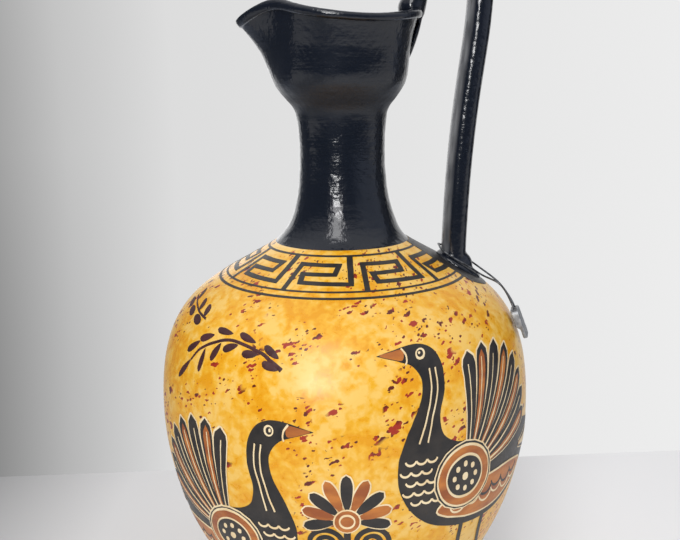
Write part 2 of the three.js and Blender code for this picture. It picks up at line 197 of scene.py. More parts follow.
table = bmesh.new()
skew = TABLE_SKEW * TABLE_REACH
corners = (
    (-TABLE_REACH, -TABLE_REACH), (TABLE_REACH, -TABLE_REACH),
    (TABLE_REACH, TABLE_REAR + skew), (-TABLE_REACH, TABLE_REAR - skew),
)
table.faces.new([table.verts.new((x, y, 0)) for x, y in corners])
floor_mesh = bpy.data.meshes.new("floor")
table.to_mesh(floor_mesh)
table.free()
floor_finish, tree, shader = new_finish("floor_finish", Roughness=0.9)
place = add(tree, "SeparateXYZ", {"Vector": add(tree, "TexCoord").outputs["Object"]}).outputs
shade = ramp(tree, span(tree, place["X"], *TABLE_SHADE_RUN), *TABLE_SHADE)
dimmed = blend(tree, span(tree, place["Y"], *FRONT_RUN), shade, FRONT_GREY)
top = blend(tree, add(tree, "LightPath").outputs["Is Camera Ray"], dimmed, shade)
plug(tree, shader, Base_Color=top)
floor_mesh.materials.append(floor_finish)
floor = link(bpy.data.objects.new("floor", floor_mesh))
print("table ends", TABLE_REAR, "m behind the jug")

# %% [markdown]
# Behind the table is a pale wall, and round it a room. Both are left to the world, which needs no
# mesh. The camera sees the wall, which falls into shade on the left, most of all near the table. All
# other rays see a room that is dim in front, slate grey on the right and bright behind, under a pale
# ceiling. That keeps the black gloss dark and gives it pale edges. The room's ramp runs once round
# the compass, from behind the jug over left, front and right.

# %% Room
DIM = (0.085, 0.093, 0.115)
GREY = (0.16, 0.17, 0.19)
SLATE = (0.42, 0.46, 0.56)
CEILING = (0.85, 0.85, 0.87, 1)
CEILING_RUN = (0.35, 0.8)
GROUND = (0.55, 0.6, 0.72, 1)
GROUND_RUN = (-0.2, -0.6)
ROOM = (
    (0.0, 1.0), (0.05, 0.85), (0.1, GREY), (0.2, DIM), (0.56, DIM), (0.64, SLATE), (0.78, SLATE),
    (0.81, 0.04), (0.865, 0.04), (0.9, 0.8), (1.0, 1.0),
)
HIGH_WALL = ((0.1, 0.68), (0.33, 0.33), (0.4, 0.55), (0.5, 0.72), (1.0, 0.84))
LOW_WALL = ((0.1, 0.68), (0.33, 0.22), (0.4, 0.46), (0.5, 0.72), (1.0, 0.85))
WALL_RUN = (-0.8, 0.4)
WALL_DROP = (-0.05, -0.4)

world = bpy.data.worlds.new("room")
bpy.context.scene.world = world
world.use_nodes = True
sky = world.node_tree
along = add(sky, "SeparateXYZ", {"Vector": add(sky, "TexCoord").outputs["Generated"]}).outputs
compass = both(sky, along["X"], both(sky, along["Y"], -1.0, "MULTIPLY"), "ARCTAN2")
room = ramp(sky, span(sky, compass, -math.pi, math.pi), *ROOM)
grounded = blend(sky, span(sky, along["Z"], *GROUND_RUN), room, GROUND)
roofed = blend(sky, span(sky, along["Z"], *CEILING_RUN), grounded, CEILING)
across = span(sky, along["X"], *WALL_RUN)
high_wall = ramp(sky, across, *HIGH_WALL)
low_wall = ramp(sky, across, *LOW_WALL)
wall = blend(sky, span(sky, along["Z"], *WALL_DROP), high_wall, low_wall)
shown = blend(sky, add(sky, "LightPath").outputs["Is Camera Ray"], roofed, wall)
plug(sky, sky.nodes["Background"], Color=shown)
print("room has", len(sky.nodes), "nodes")

# %% [markdown]
# Three soft lamps light the jug. A high one left of the camera lights the ochre, a lower one makes
# the streaks on neck and handle, and a weak one behind the jug reaches the handle's inner side. Area
# lamps are used, because gloss mirrors a lamp's shape, and theirs is that of a window.

# %% Lamps


def lamp(name, place, target, width, height, watts):
    data = bpy.data.lights.new(name, "AREA")
    data.shape = "RECTANGLE"
    data.size = width
    data.size_y = height
    data.energy = watts
    light = link(bpy.data.objects.new(name, data))
    towards = Vector(target) - Vector(place)
    turn = towards.to_track_quat("-Z", "Y").to_matrix().to_4x4()
    light.matrix_world = Matrix.Translation(place) @ turn


lamp("high_lamp", (-0.24, -0.8, 0.8), (0, 0, 0.16), width=0.38, height=0.8, watts=5.4)
lamp("low_lamp", (-0.26, -0.95, 0.4), (0, 0, 0.14), width=0.26, height=0.18, watts=3.1)
lamp("rear_lamp", (-0.03, 0.08, 0.2), (0.046, 0, 0.19), width=0.1, height=0.2, watts=0.045)
print("lamps", [light.name for light in bpy.data.lights])

# %% [markdown]
# The black on mouth, neck, handle and foot is a thick gloss paint over clay. It shows brush marks,
# along the turning on the neck and along the rod on the handle, and small lumps that break up the
# highlights. Stretched noise gives both, as bump and as a change in roughness. Two attributes, which
# the pieces carry on their vertices, say where a painted highlight of pale grey goes, on the handle's
# side that faces the jug, and where the polish was left off.

# %% Black gloss
BLACK = (0.005, 0.0075, 0.0135)
BLACK_WORN = (0.008, 0.0105, 0.0175)
# Painted highlight: a pale grey that stands in for the light the handle's inner side catches.
PAINTED_SHEEN_GREY = (0.21, 0.213, 0.222, 1)
UNPOLISHED = (0.6, 0.6, 0.6, 1)
ROUND_MARKS = (60, 60, 1300)
LENGTH_MARKS = (900, 900, 45)


def black_gloss(name, marks):
    material, tree, shader = new_finish(name)
    # Where the first attribute says, the base colour turns pale grey, as a painted highlight.
    painted_sheen = add(tree, "Attribute", attribute_name="painted_sheen").outputs["Fac"]
    dull = add(tree, "Attribute", attribute_name="dull").outputs["Fac"]
    strokes = grain(tree, 1, stretch=marks, detail=4)
    lumps = grain(tree, 480, detail=2)
    clouds = grain(tree, 45, detail=4)
    clean = ramp(tree, clouds, (0.35, BLACK), (0.75, BLACK_WORN))
    polished = ramp(tree, strokes, (0.3, 0.11), (0.75, 0.22))
    brushed = bump(tree, strokes, 0.3, 0.0002)
    plug(
        tree, shader, Base_Color=blend(tree, painted_sheen, clean, PAINTED_SHEEN_GREY),
        Roughness=blend(tree, dull, polished, UNPOLISHED),
        Normal=bump(tree, lumps, 0.5, 0.0004, Normal=brushed),
    )
    return material


turned_black = black_gloss("turned_black", ROUND_MARKS)
pulled_black = black_gloss("pulled_black", LENGTH_MARKS)
print("black gloss on", turned_black.name, pulled_black.name)

# %% [markdown]
# The body's ground is a golden ochre wash, sponged on unevenly so that paler yellow shows through,
# then sealed with wax. A stiff brush has flicked red-brown streaks over it, mostly in clusters and
# all with the same slant. Noise mixes the golds. The streaks are stretched cells on the body's own
# UV map, which runs round the jug and up its skin in metres, and only some cells are kept.

# %% Ochre ground
GOLD_DEEP = (0.77, 0.33, 0.005)
GOLD = (0.83, 0.43, 0.025)
GOLD_PALE = (0.87, 0.54, 0.12)
FLECK_RED = (0.36, 0.03, 0.012)
FLECK_DARK = (0.12, 0.015, 0.008)
FLECK_EDGE = 0.03
SLANT = math.radians(-24)


def flecks(tree, length, width, kept, size, ragged):
    place = add(tree, "TexCoord").outputs["UV"]
    shake = add(tree, "TexNoise", {"Vector": place, "Scale": 1.2 / width, "Detail": 3.0})
    inputs = {"Fac": ragged * width, "Color1": place, "Color2": shake.outputs["Color"]}
    bent = add(tree, "MixRGB", inputs, blend_type="ADD").outputs["Color"]
    turned = add(tree, "Mapping", {"Vector": bent, "Rotation": (0, 0, SLANT)}).outputs["Vector"]
    sized = add(tree, "Mapping", {"Vector": turned, "Scale": (1 / length, 1 / width, 1)}).outputs["Vector"]
    cells = add(tree, "TexVoronoi", {"Vector": sized, "Scale": 1.0}, voronoi_dimensions="2D")
    luck = add(tree, "SeparateColor", {"Color": cells.outputs["Color"]}).outputs["Red"]
    reach = add(tree, "MapRange", {"Value": luck, "From Min": kept, "To Max": size}).outputs["Result"]
    inside = both(tree, reach, cells.outputs["Distance"], "SUBTRACT")
    return span(tree, inside, 0, FLECK_EDGE)


def ochre_ground():
    material, tree, shader = new_finish("ochre_ground")
    clouds = grain(tree, 75, detail=5, warp=0.3)
    blots = grain(tree, 330, detail=5, warp=0.3)
    mixed = both(tree, both(tree, clouds, 0.5, "MULTIPLY"), both(tree, blots, 0.5, "MULTIPLY"), "ADD")
    ground = ramp(tree, mixed, (0.4, GOLD_DEEP), (0.48, GOLD), (0.57, GOLD_PALE))
    patches = ramp(tree, grain(tree, 48, detail=2), (0.45, 0.0), (0.56, 1.0))
    streaks = flecks(tree, length=0.0052, width=0.0019, kept=0.64, size=0.48, ragged=1.2)
    blobs = flecks(tree, length=0.0075, width=0.0028, kept=0.84, size=0.4, ragged=1.4)
    specks = flecks(tree, length=0.0019, width=0.0011, kept=0.76, size=0.44, ragged=0.9)
    spots = both(tree, both(tree, streaks, blobs, "MAXIMUM"), specks, "MAXIMUM")
    kept_spots = both(tree, spots, patches, "MULTIPLY")
    shown_spots = ramp(tree, kept_spots, (0.4, 0.0), (0.55, 1.0))
    red = ramp(tree, grain(tree, 240, detail=1), (0.44, FLECK_DARK), (0.54, FLECK_RED))
    plug(
        tree, shader, Base_Color=blend(tree, shown_spots, ground, red),
        Roughness=ramp(tree, blots, (0.35, 0.27), (0.7, 0.37)),
        Normal=bump(tree, blots, 0.1, 0.0004),
    )
    return material


ochre = ochre_ground()
print("ochre ground", len(ochre.node_tree.nodes), "nodes")

# %% [markdown]
# The painter uses four more colours on the body: a brown-black, a dark red-brown for leaves, an
# orange-brown wash that shows the brush, and the cream of scratched lines. They share one recipe
# with two tones each. Bare clay, inside and underneath, is the same recipe without gloss.

# %% Paint colours
PAINT_BLACK = ((0.012, 0.0105, 0.0105), (0.03, 0.024, 0.02))
LEAF_RED = ((0.042, 0.013, 0.014), (0.075, 0.022, 0.024))
BROWN_WASH = ((0.3, 0.075, 0.014), (0.56, 0.19, 0.03))
SCRATCHED = ((0.8, 0.6, 0.33), (0.9, 0.74, 0.47))
CLAY = ((0.5, 0.2, 0.09), (0.62, 0.28, 0.14))


def paint(name, tones, roughness, scale=160, stretch=(1, 1, 1)):
    material, tree, shader = new_finish(name)
    marks = grain(tree, scale, stretch=stretch, detail=5)
    fine = grain(tree, 900, detail=2)
    plug(
        tree, shader, Base_Color=ramp(tree, marks, (0.36, tones[0]), (0.66, tones[1])),
        Roughness=ramp(tree, fine, (0.3, roughness - 0.06), (0.7, roughness + 0.06)),
        Normal=bump(tree, fine, 0.15, 0.0003),
    )
    return material


paint_black = paint("paint_black", PAINT_BLACK, roughness=0.42)
leaf_red = paint("leaf_red", LEAF_RED, roughness=0.42)
brown_wash = paint("brown_wash", BROWN_WASH, roughness=0.42, scale=70, stretch=(1, 1, 3))
scratched = paint("scratched_cream", SCRATCHED, roughness=0.5)
bare_clay = paint("bare_clay", CLAY, roughness=0.8)
print("paints", [m.name for m in (paint_black, leaf_red, brown_wash, scratched, bare_clay)])

# %% [markdown]
# A thrown piece is a profile turned round the wheel's axis. Profiles are drawn in millimetres as
# points, cubic curves and simple bends, and bmesh's spin turns them. Poles on the axis and the
# spin's seam are merged, and the normals are set after that.

# %% Turning helpers
SPIN_STEPS = 256
SAME_PLACE = 0.01
WELD = 1e-6
SHARP = math.radians(42)


def at(radius, height):
    return Vector((radius, 0, height))


def bend(start, corner, end, count=9):
    return curve(start, start.lerp(corner, 2 / 3), end.lerp(corner, 2 / 3), end, count)


def spin(profile, closed=False):
    shape = bmesh.new()
    points = [p for i, p in enumerate(profile) if i == 0 or (p - profile[i - 1]).length > SAME_PLACE]
    if closed and (points[0] - points[-1]).length < SAME_PLACE:
        points.pop()
    verts = [shape.verts.new(p * MM) for p in points]
    pairs = list(zip(verts, verts[1:])) + ([(verts[-1], verts[0])] if closed else [])
    edges = [shape.edges.new(pair) for pair in pairs]
    bmesh.ops.spin(
        shape, geom=verts + edges, cent=(0, 0, 0), axis=(0, 0, 1),
        angle=math.tau, steps=SPIN_STEPS, use_merge=True,
    )
    bmesh.ops.remove_doubles(shape, verts=shape.verts, dist=WELD)
    bmesh.ops.recalc_face_normals(shape, faces=shape.faces)
    return shape


def dress(name, shape, finishes, slot, *nodes, body="jug"):
    mesh = bpy.data.meshes.new(name)
    shape.to_mesh(mesh)
    shape.free()
    for finish in finishes:
        mesh.materials.append(finish)
    mesh.shade_smooth()
    mesh.set_sharp_from_angle(angle=SHARP)
    piece = link(bpy.data.objects.new(name, mesh))
    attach(piece, body)
    if nodes:
        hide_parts(*nodes)
    print(name, len(mesh.polygons), "faces")
    return piece


print("a full turn has", SPIN_STEPS, "steps")

# %% [markdown]
# The foot is a turned ring with a rounded edge. The jug stands on its flat underside, which stays
# bare, because gloss would stick to a shelf. The ring is hollow, so its profile is a closed loop.

# %% Foot
FOOT_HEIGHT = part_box("foot")[1].z / MM
FOOT_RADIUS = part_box("foot")[1].x / MM
FOOT_RING = 8
FOOT_INNER = FOOT_RADIUS - FOOT_RING
FOOT_SEAT = 30
FOOT_SEAT_INNER = 24
FOOT_ROUND = 2.5
FOOT_EDGE = 5

foot_profile = [
    at(FOOT_INNER, 0),
    *bend(at(FOOT_RADIUS - FOOT_ROUND, 0), at(FOOT_RADIUS, 0), at(FOOT_RADIUS, FOOT_ROUND)),
    *bend(at(FOOT_RADIUS, FOOT_ROUND), at(FOOT_RADIUS, FOOT_EDGE), at(FOOT_RADIUS - FOOT_ROUND, FOOT_EDGE)),
    *bend(at(FOOT_RADIUS - FOOT_ROUND, FOOT_EDGE), at(FOOT_SEAT, FOOT_EDGE), at(FOOT_SEAT, FOOT_HEIGHT)),
    at(FOOT_SEAT_INNER, FOOT_HEIGHT),
]
foot_shape = spin(foot_profile, closed=True)
for face in foot_shape.faces:
    centre = face.calc_center_median()
    face.material_index = int(face.normal.z < -0.9 or centre.xy.length < FOOT_INNER * MM)
dress("turned_foot", foot_shape, [turned_black, bare_clay], "black_slip", "foot")

# %% [markdown]
# The body is an egg-shaped shell, widest above its middle. Two cubic curves draw its skin, one
# below the belly and one over the shoulder. The belly is a little smaller than in the frame, which
# leaves room for the paint. The way up the skin is measured from the belly, because the painting is
# laid out along it.

# %% Body's skin
PAINT = 0.3
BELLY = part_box("body")[1].x / MM - PAINT
SHOULDER_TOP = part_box("body")[1].z / MM
BELLY_HEIGHT = 94
LOWER_SLOPE = math.radians(36)
LOWER_REACH = 35
LOWER_FULLNESS = 26
SHOULDER_SLOPE = math.radians(32)
SHOULDER_REACH = 31
SHOULDER_FULLNESS = 44
NECK_BASE = 25

lower_skin = curve(
    at(FOOT_SEAT, FOOT_HEIGHT),
    at(FOOT_SEAT + LOWER_REACH * math.cos(LOWER_SLOPE), FOOT_HEIGHT + LOWER_REACH * math.sin(LOWER_SLOPE)),
    at(BELLY, BELLY_HEIGHT - LOWER_FULLNESS), at(BELLY, BELLY_HEIGHT), 64,
)
shoulder_skin = curve(
    at(BELLY, BELLY_HEIGHT), at(BELLY, BELLY_HEIGHT + SHOULDER_FULLNESS),
    at(
        NECK_BASE + SHOULDER_REACH * math.cos(SHOULDER_SLOPE),
        SHOULDER_TOP - SHOULDER_REACH * math.sin(SHOULDER_SLOPE),
    ),
    at(NECK_BASE, SHOULDER_TOP), 80,
)
skin = lower_skin + shoulder_skin[1:]


def walk(path):
    walked = [0]
    for near, far in zip(path, path[1:]):
        walked.append(walked[-1] + (far - near).length)
    return walked


climbed = walk(skin)
belly_rise = climbed[len(lower_skin) - 1]
rises = [rise - belly_rise for rise in climbed]
heights = [place.z for place in skin]
print("skin is", round(rises[-1] - rises[0]), "mm from foot to neck")

# %% [markdown]
# The skin's curve, moved inwards, gives the inner wall, and both are spun as one profile. The lowest
# part is painted black down to the foot, and the inside is bare clay. The body gets a UV map that
# runs round the belly and up the skin in metres, so that flecks keep their size on the slopes.

# %% Body
BODY_WALL = 5
BODY_FLOOR = 6
BORE = NECK_BASE - BODY_WALL
BLACK_TOP = 38


def unroll(shape):
    layer = shape.loops.layers.uv.new("skin")
    for face in shape.faces:
        centre = face.calc_center_median()
        middle = math.atan2(centre.x, -centre.y)
        for loop in face.loops:
            x, y, z = loop.vert.co / MM
            turn = math.atan2(x, -y)
            turn += math.tau * round((middle - turn) / math.tau)
            i = min(max(bisect(heights, z), 1), len(heights) - 1)
            part = (z - heights[i - 1]) / (heights[i] - heights[i - 1])
            rise = rises[i - 1] + part * (rises[i] - rises[i - 1])
            loop[layer].uv = Vector((turn * BELLY, rise)) * MM


def inner_wall(points, wall):
    moved = []
    for i in range(0, len(points) - 1, 3):
        along = (points[i + 1] - points[i]).normalized()
        moved.append(points[i] + Vector((-along.z, 0, along.x)) * wall)
    return moved


floor_height = FOOT_HEIGHT + BODY_FLOOR
hollow = [p for p in inner_wall(skin, BODY_WALL) if p.z > floor_height + 1 and p.x > BORE + 1]
body_profile = [
    at(0, floor_height), at(hollow[0].x - BODY_WALL, floor_height), *hollow,
    at(BORE, hollow[-1].z + 1), at(BORE, SHOULDER_TOP), *reversed(skin), at(0, FOOT_HEIGHT),
]
body_shape = spin(body_profile)
unroll(body_shape)
for face in body_shape.faces:
    centre = face.calc_center_median() / MM
    outwards = face.normal.xy.dot(centre.xy) > 0.01
    if not outwards:
        face.material_index = 2
    elif centre.z < BLACK_TOP:
        face.material_index = 1
dress("ochre_body", body_shape, [ochre, turned_black, bare_clay], "ochre_ground", "body")

# %% [markdown]
# The neck is a slim tube that flares onto the shoulder. It was turned by hand, so its skin is a
# little uneven. A slow noise moves each vertex by a tenth of a millimetre or so, and the mouth uses
# the same noise, so that the two still meet. Both sit half a millimetre or so nearer to the handle
# than the body's axis, because they were luted on by eye. In the hollow under the cup, where a
# polishing cloth doesn't reach, the gloss stays dull.

# %% Neck
NECK_TOP_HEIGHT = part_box("neck")[1].z / MM
NECK_WALL = 4
NECK_TOP = 16.6
NECK_WAIST = 15.8
NECK_FLARE_RUN = 7.5
NECK_FLARE_RISE = 6
NECK_WAIST_HEIGHT = SHOULDER_TOP + 33
NECK_WAIST_EASE = 13
UNEVEN = 0.16
UNEVEN_RISE = 8
ASIDE = 0.6
ASIDE_RISE = 9
DULL_MIDDLE = NECK_TOP_HEIGHT + 5
DULL_SPAN = 8


def neck_wall(base, waist, top):
    middle = (NECK_WAIST_HEIGHT + NECK_TOP_HEIGHT) / 2
    low = curve(
        at(base, SHOULDER_TOP), at(base - NECK_FLARE_RUN, SHOULDER_TOP + NECK_FLARE_RISE),
        at(waist, NECK_WAIST_HEIGHT - NECK_WAIST_EASE), at(waist, NECK_WAIST_HEIGHT), 40,
    )
    return low + bend(at(waist, NECK_WAIST_HEIGHT), at(waist, middle), at(top, NECK_TOP_HEIGHT), 14)


def clip(share):
    return min(1, max(0, share))


def hand_turned(shape):
    for vert in shape.verts:
        place = vert.co / MM
        fade = clip((place.z - SHOULDER_TOP) / UNEVEN_RISE)
        push = noise.noise(Vector((place.x, place.y, place.z * 2.2)) * 0.09)
        ring = noise.noise(Vector((0, 0, place.z * 0.55)))
        vert.co.xy *= 1 + fade * UNEVEN * (push + 0.5 * ring) / max(1, place.xy.length)


def set_aside(shape):
    for vert in shape.verts:
        share = clip((vert.co.z / MM - SHOULDER_TOP) / ASIDE_RISE)
        vert.co.x += ASIDE * MM * share * share * (3 - 2 * share)


def leave_dull(shape):
    layer = shape.verts.layers.float.new("dull")
    for vert in shape.verts:
        vert[layer] = clip(1 - abs(vert.co.z / MM - DULL_MIDDLE) / DULL_SPAN)


neck_outer = neck_wall(NECK_BASE, NECK_WAIST, NECK_TOP)
neck_inner = neck_wall(BORE, NECK_WAIST - NECK_WALL, NECK_TOP - NECK_WALL)
neck_shape = spin([*neck_outer, *reversed(neck_inner)], closed=True)
hand_turned(neck_shape)
set_aside(neck_shape)
leave_dull(neck_shape)
dress("black_neck", neck_shape, [turned_black], "black_slip", "neck")

# %% [markdown]
# The mouth starts as a round cup that flares to a rounded lip. Its profile goes on from the neck
# with the neck's slope, up the outside, over the lip and down the inside, as a closed loop.

# %% Cup's profile
RIM = NECK_TOP_HEIGHT + 37
CUP = 24.7
CUP_CORNER = NECK_TOP_HEIGHT + 16
CUP_WALL = 3.6
CUP_BASE_EASE = 5
CUP_SIDE_EASE = 8.8
CUP_BOWL_EASE = 8
CUP_SLOPE = 0.1
LIP = 30.3
LIP_NECK = 28.5
LIP_HEIGHT = 3.5
LIP_WIDTH = 4.2
LIP_FLARE = 8.5

lip_low = RIM - LIP_HEIGHT
lip_middle = RIM - LIP_HEIGHT / 2
flare_rise = lip_low - LIP_FLARE - CUP_CORNER
bore = NECK_TOP - NECK_WALL
inside = CUP - CUP_WALL
lip_inside = LIP - LIP_WIDTH
neck_slope = 2 * (NECK_TOP - NECK_WAIST) / (NECK_TOP_HEIGHT - NECK_WAIST_HEIGHT)
cup_profile = [
    at(bore, NECK_TOP_HEIGHT),
    *curve(
        at(NECK_TOP, NECK_TOP_HEIGHT),
        at(NECK_TOP + neck_slope * CUP_BASE_EASE, NECK_TOP_HEIGHT + CUP_BASE_EASE),
        at(CUP - CUP_SLOPE * CUP_SIDE_EASE, CUP_CORNER - CUP_SIDE_EASE), at(CUP, CUP_CORNER), 22,
    ),
    *bend(
        at(CUP, CUP_CORNER), at(CUP + CUP_SLOPE * flare_rise, lip_low - LIP_FLARE),
        at(LIP_NECK, lip_low), 20,
    ),
    *bend(at(LIP_NECK, lip_low), at(LIP, lip_low), at(LIP, lip_middle)),
    *bend(at(LIP, lip_middle), at(LIP, RIM), at(LIP - LIP_WIDTH / 2, RIM)),
    *bend(at(LIP - LIP_WIDTH / 2, RIM), at(lip_inside, RIM), at(lip_inside, lip_middle)),
    *bend(at(lip_inside, lip_middle), at(inside, lip_low - LIP_FLARE), at(inside, CUP_CORNER), 18),
    *curve(
        at(inside, CUP_CORNER), at(inside, CUP_CORNER - CUP_BOWL_EASE),
        at(bore, NECK_TOP_HEIGHT + CUP_BOWL_EASE), at(bore, NECK_TOP_HEIGHT), 22,
    ),
]
print("cup's profile", len(cup_profile), "points")

# %% [markdown]
# While the clay is soft, the potter pulls the front out into a beak, pinches it from both sides, lets
# the side lobes droop and presses the rear in for the handle. The same is done here: the cup is spun
# round, then each vertex moves out, in, up or down by its angle and height. Angles are in degrees
# from the handle.

# %% Mouth
SPOUT_PULL = 11.6
SPOUT_SPREAD = 34
SPOUT_DROP = 5.5
SPOUT_EASE = 2.2
SPOUT_LIP_FADE = 0.48
PINCH_DEPTH = 7
PINCH_ANGLE = 155
PINCH_SPREAD = 28.7
PINCH_RISE = 5.2
LOBE_DROP = 4
LOBE_ANGLE = 70
LOBE_SPREAD = 47
PRESS_DEPTH = 1.6
PRESS_SPREAD = 14


def bell(angle, middle, spread):
    return math.exp(-(((angle - middle) / spread) ** 2))


def pinch(shape):
    for vert in shape.verts:
        x, y, z = vert.co / MM
        angle = abs(math.degrees(math.atan2(y, x)))
        rise = max(0, (z - NECK_TOP_HEIGHT) / (RIM - NECK_TOP_HEIGHT)) ** SPOUT_EASE
        spout = bell(angle, 180, SPOUT_SPREAD)
        squeeze = bell(angle, PINCH_ANGLE, PINCH_SPREAD)
        lobe = bell(angle, LOBE_ANGLE, LOBE_SPREAD)
        radius = math.hypot(x, y)
        overhang = max(0, radius - LIP_NECK) * SPOUT_LIP_FADE * spout
        press = bell(angle, 0, PRESS_SPREAD)
        pull = rise * (SPOUT_PULL * spout - PINCH_DEPTH * squeeze - PRESS_DEPTH * press) - overhang
        lift = rise * (PINCH_RISE * squeeze - SPOUT_DROP * spout - LOBE_DROP * lobe)
        vert.co.xy *= 1 + pull / radius
        vert.co.z += lift * MM


mouth_shape = spin(cup_profile, closed=True)
hand_turned(mouth_shape)
pinch(mouth_shape)
set_aside(mouth_shape)
leave_dull(mouth_shape)
bmesh.ops.recalc_face_normals(mouth_shape, faces=mouth_shape.faces)
dress("pinched_mouth", mouth_shape, [turned_black], "black_slip", "mouth")

# %% [markdown]
# The handle is a rod of clay that rises from the shoulder, swings over a high loop and is pressed
# onto the rear of the lip. Its path is four curves, joined without a kink: the leg, two quarter
# circles over the loop and a short way down to the lip. A cubic curve comes close to a quarter circle
# when its handles go 0.5523 of the way to the corner.

# %% Handle's path
HANDLE_FOOT = 42
HANDLE_OUT = 50.9
HANDLE_RIM = 26.2
HANDLE_LEAN = 1.8
LEG_LEAN = 1.6
LEG_STRAIGHT = 0.65
LEG_BEND = 0.25
LOOP_START = RIM + 10
LOOP_TOP = LOOP_START + 17
ROOT_SIZE = (20, 17, 4.6)
ROUND_CORNER = 0.5523


def shoulder_height(radius):
    for inner, outer in zip(shoulder_skin[::-1], shoulder_skin[-2::-1]):
        if inner.x <= radius <= outer.x:
            return inner.lerp(outer, (radius - inner.x) / (outer.x - inner.x)).z
    return BELLY_HEIGHT


def quarter(start, corner, end):
    return curve(start, start.lerp(corner, ROUND_CORNER), end.lerp(corner, ROUND_CORNER), end, 26)


def handle_path():
    foot_place = at(HANDLE_FOOT, shoulder_height(HANDLE_FOOT) - ROOT_SIZE[2])
    outer = at(HANDLE_OUT, LOOP_START)
    inner = at(HANDLE_RIM + HANDLE_LEAN, LOOP_START)
    crown = at((outer.x + inner.x) / 2, LOOP_TOP)
    rise = outer.z - foot_place.z
    lower = at(HANDLE_FOOT + LEG_LEAN, foot_place.z + rise * LEG_STRAIGHT)
    leg = curve(foot_place, lower, at(HANDLE_OUT, outer.z - rise * LEG_BEND), outer, 44)
    over = quarter(outer, at(HANDLE_OUT, LOOP_TOP), crown)[1:]
    back = quarter(crown, at(inner.x, LOOP_TOP), inner)[1:]
    down = bend(inner, at(inner.x, (LOOP_START + RIM) / 2), at(HANDLE_RIM, lip_middle))[1:]
    return leg + over + back + down


handle_line = handle_path()
print("handle's path", len(handle_line), "points")

# %% [markdown]
# Clay is pulled, pressed and smeared. Oval rings set along a path and bridged make a rod, and
# squashed balls make what fingers press on. A voxel remesh melts them into one skin, which a live
# join of separate meshes would not give, and smoothing rounds it as wet fingers would.

# %% Clay helpers
RING_SIDES = 28


def rod(shape, path, wide, thick):
    earlier = None
    for i, place in enumerate(path):
        along = (path[min(i + 1, len(path) - 1)] - path[max(i - 1, 0)]).normalized()
        across = Vector((0, 1, 0))
        set_up = Matrix((across * wide / 2, along.cross(across) * thick / 2, along)).transposed().to_4x4()
        set_up.translation = place
        ends = i in (0, len(path) - 1)
        made = bmesh.ops.create_circle(shape, cap_ends=ends, segments=RING_SIDES, radius=1, matrix=set_up)
        edges = list(dict.fromkeys(edge for vert in made["verts"] for edge in vert.link_edges))
        if earlier:
            bmesh.ops.bridge_loops(shape, edges=earlier + edges)
        earlier = edges


def ball(shape, size, tilt, place):
    squash = Matrix.Translation(place) @ Matrix.Rotation(tilt, 4, "Y") @ Matrix.Diagonal((*size, 1))
    bmesh.ops.create_uvsphere(shape, u_segments=32, v_segments=20, radius=0.5, matrix=squash)


def melt(shape, voxel, rounds):
    bmesh.ops.scale(shape, vec=(MM, MM, MM), verts=shape.verts)
    bmesh.ops.recalc_face_normals(shape, faces=shape.faces)
    rough_mesh = bpy.data.meshes.new("rough")
    shape.to_mesh(rough_mesh)
    shape.free()
    rough = link(bpy.data.objects.new("rough", rough_mesh))
    remesh = rough.modifiers.new("melt", "REMESH")
    remesh.mode = "VOXEL"
    remesh.voxel_size = voxel
    melted = bmesh.new()
    melted.from_object(rough, bpy.context.evaluated_depsgraph_get())
    bpy.data.objects.remove(rough)
    bpy.data.meshes.remove(rough_mesh)
    for _ in range(rounds):
        bmesh.ops.smooth_vert(
            melted, verts=melted.verts, factor=0.5, use_axis_x=True, use_axis_y=True, use_axis_z=True,
        )
    return melted


print("rings have", RING_SIDES, "sides")

# %% [markdown]
# The handle is an oval rod with a root smeared over the shoulder, a heel where it stands on it, a pad
# pressed onto the lip and a thin tail smeared down the cup. Its inner side, which faces the jug, gets
# a painted highlight of pale grey, written there as an attribute by the way the skin faces.

# %% Handle
HANDLE_THICK = 9.4
HANDLE_WIDE = 12
ROOT_SHIFT = 2.2
HEEL_SIZE = (11.6, 11.4, 11)
HEEL_SHIFT = 1.7
PAD_SIZE = (9.8, 13, 9.8)
TAIL_SIZE = (2.4, 10, 18)
TAIL_DROP = 10.1
TAIL_SLOPE = math.radians(18)
VOXEL = 0.55 * MM
SMOOTHING = 6
SHEEN_FACING = 0.55
SHEEN_EASE = 0.25
SHEEN_RIM = 3


# Writes where the pale grey painted highlight goes: on the side that faces the jug.
def paint_inner_sheen(shape):
    layer = shape.verts.layers.float.new("painted_sheen")
    shape.normal_update()
    for vert in shape.verts:
        place = vert.co / MM
        streak = 0.75 + 0.5 * noise.noise(Vector((place.x * 0.5, place.y * 0.9, place.z * 0.12)))
        rim = clip((place.x - HANDLE_FOOT + HANDLE_THICK / 2 + 1) / SHEEN_RIM)
        vert[layer] = clip((-vert.normal.x - SHEEN_FACING) / SHEEN_EASE) * streak * rim


handle_shape = bmesh.new()
rod(handle_shape, handle_line, HANDLE_WIDE, HANDLE_THICK)
root_radius = HANDLE_FOOT + ROOT_SHIFT
ball(handle_shape, ROOT_SIZE, SHOULDER_SLOPE, at(root_radius, shoulder_height(root_radius)))
heel_radius = HANDLE_FOOT + HEEL_SHIFT
ball(handle_shape, HEEL_SIZE, 0, at(heel_radius, shoulder_height(heel_radius)))
ball(handle_shape, PAD_SIZE, 0, at(HANDLE_RIM, RIM))
ball(handle_shape, TAIL_SIZE, TAIL_SLOPE, at((LIP_NECK + CUP) / 2 + ASIDE, RIM - TAIL_DROP))
handle_skin = melt(handle_shape, VOXEL, SMOOTHING)
paint_inner_sheen(handle_skin)
dress("pulled_handle", handle_skin, [pulled_black], "black_slip", "handle")

# %% [markdown]
# The seal is dull grey lead, and its wire dark steel that has lost its shine. One recipe gives both:
# a cloudy noise that changes colour, roughness and bump together, as wear and tarnish do.

